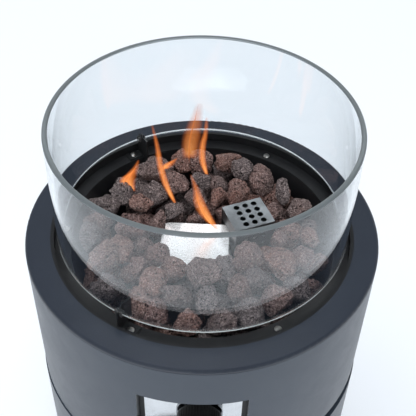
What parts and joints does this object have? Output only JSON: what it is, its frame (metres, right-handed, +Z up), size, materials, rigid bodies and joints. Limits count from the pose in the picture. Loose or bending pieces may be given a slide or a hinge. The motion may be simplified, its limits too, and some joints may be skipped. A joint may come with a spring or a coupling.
{
  "type": "outdoor heater",
  "caption": "Round column gas fire heater: steel drum with door and control knob, rock-filled fire bowl and cylindrical glass wind guard on top.",
  "frame": {"origin": "on the ground under the drum's axis", "axes": "+Z up along the drum's axis, -Y out of the control panel, +X to the right of the panel as a user faces it"},
  "size_m": [0.4096, 0.4032, 0.8114],
  "materials": {
    "drum_paint": "satin powder coat, dark slate",
    "ring_paint": "satin powder coat, dark slate",
    "black_steel": "matt black",
    "bowl_enamel": "heat-resistant black enamel",
    "zinc_steel": "zinc plated",
    "stainless": "brushed stainless steel",
    "polished_steel": "polished stainless steel",
    "black_plastic": "fine satin",
    "brass": "machined",
    "pipe_aluminium": "bright drawn",
    "rubber": "matt",
    "silicone": "matt",
    "porcelain": "glazed white",
    "copper_lead": "bare copper sheath",
    "red_lead": "silicone-covered",
    "lava": "porous rough rock",
    "clear_glass": "clear polished tempered glass"
  },
  "bodies": {
    "stand": {"base_pan": "drum_paint", "rubber_feet": "rubber", "foot_screws": "zinc_steel", "bottle_ring": "black_steel", "drum_shell": "drum_paint", "hinge_jamb": "black_steel", "catch_jamb": "black_steel", "bay_divider": "zinc_steel", "hinge_fixed_leaves": "black_steel", "hinge_pins": "zinc_steel", "magnet_catch": "black_plastic", "top_ring": "ring_paint", "ring_brackets": "black_steel", "bracket_screws": "zinc_steel", "fire_bowl": "bowl_enamel", "bowl_screws": "zinc_steel", "heat_shield": "zinc_steel", "shield_spacers": "zinc_steel", "glass_clips": "black_steel", "glass_pads": "silicone", "clip_screws": "zinc_steel", "burner_cover": "stainless", "burner_base": "stainless", "burner_legs": "black_steel", "mixer_tube": "stainless", "gas_jet": "brass", "jet_bracket": "black_steel", "igniter_guard": "stainless", "guard_screws": "zinc_steel", "probe_bracket": "zinc_steel", "spark_insulator": "porcelain", "spark_rod": "stainless", "thermocouple": "stainless", "thermocouple_nut": "brass", "thermocouple_lead": "copper_lead", "ignition_lead": "red_lead", "gas_pipe": "pipe_aluminium", "pipe_nuts": "brass", "panel_tray": "black_steel", "panel_plate": "polished_steel", "panel_screws": "zinc_steel", "knob_bezel": "polished_steel", "valve_body": "brass", "magnet_unit": "brass", "valve_nut": "zinc_steel", "piezo_unit": "black_plastic", "inlet_fitting": "brass", "lava_rocks": "lava"},
    "door": {"door_skin": "drum_paint", "door_stiffener": "drum_paint", "hinge_door_leaves": "black_steel", "strike_plate": "zinc_steel"},
    "push": {"push_rod": "brass"},
    "knob": {"control_knob": "black_plastic", "valve_spindle": "stainless"},
    "glass": {"wind_glass": "clear_glass"},
    "shutter": {"air_shutter": "brass"}
  },
  "joints": [
    {"name": "door_hinge", "type": "hinge", "parent": "stand", "child": "door", "pos_m": [-0.20479, 0.00158, 0.2], "axis": [0, 0, -1], "range_deg": [0, 110]},
    {"name": "knob_push", "type": "slide", "parent": "stand", "child": "push", "axis": [0, 1, 0], "range_m": [0, 0.004], "stiffness_N_per_m": 1500, "springref_m": -0.002},
    {"name": "knob_turn", "type": "hinge", "parent": "push", "child": "knob", "pos_m": [0.007, -0.19, 0.549], "axis": [0, -1, 0], "range_deg": [0, 210]},
    {"name": "glass_lift", "type": "slide", "parent": "stand", "child": "glass", "axis": [0, 0, 1], "range_m": [0, 0.15]},
    {"name": "shutter_turn", "type": "hinge", "parent": "stand", "child": "shutter", "pos_m": [-0.008, -0.006, 0.54], "axis": [0, 0, 1], "range_deg": [0, 40]}
  ]
}
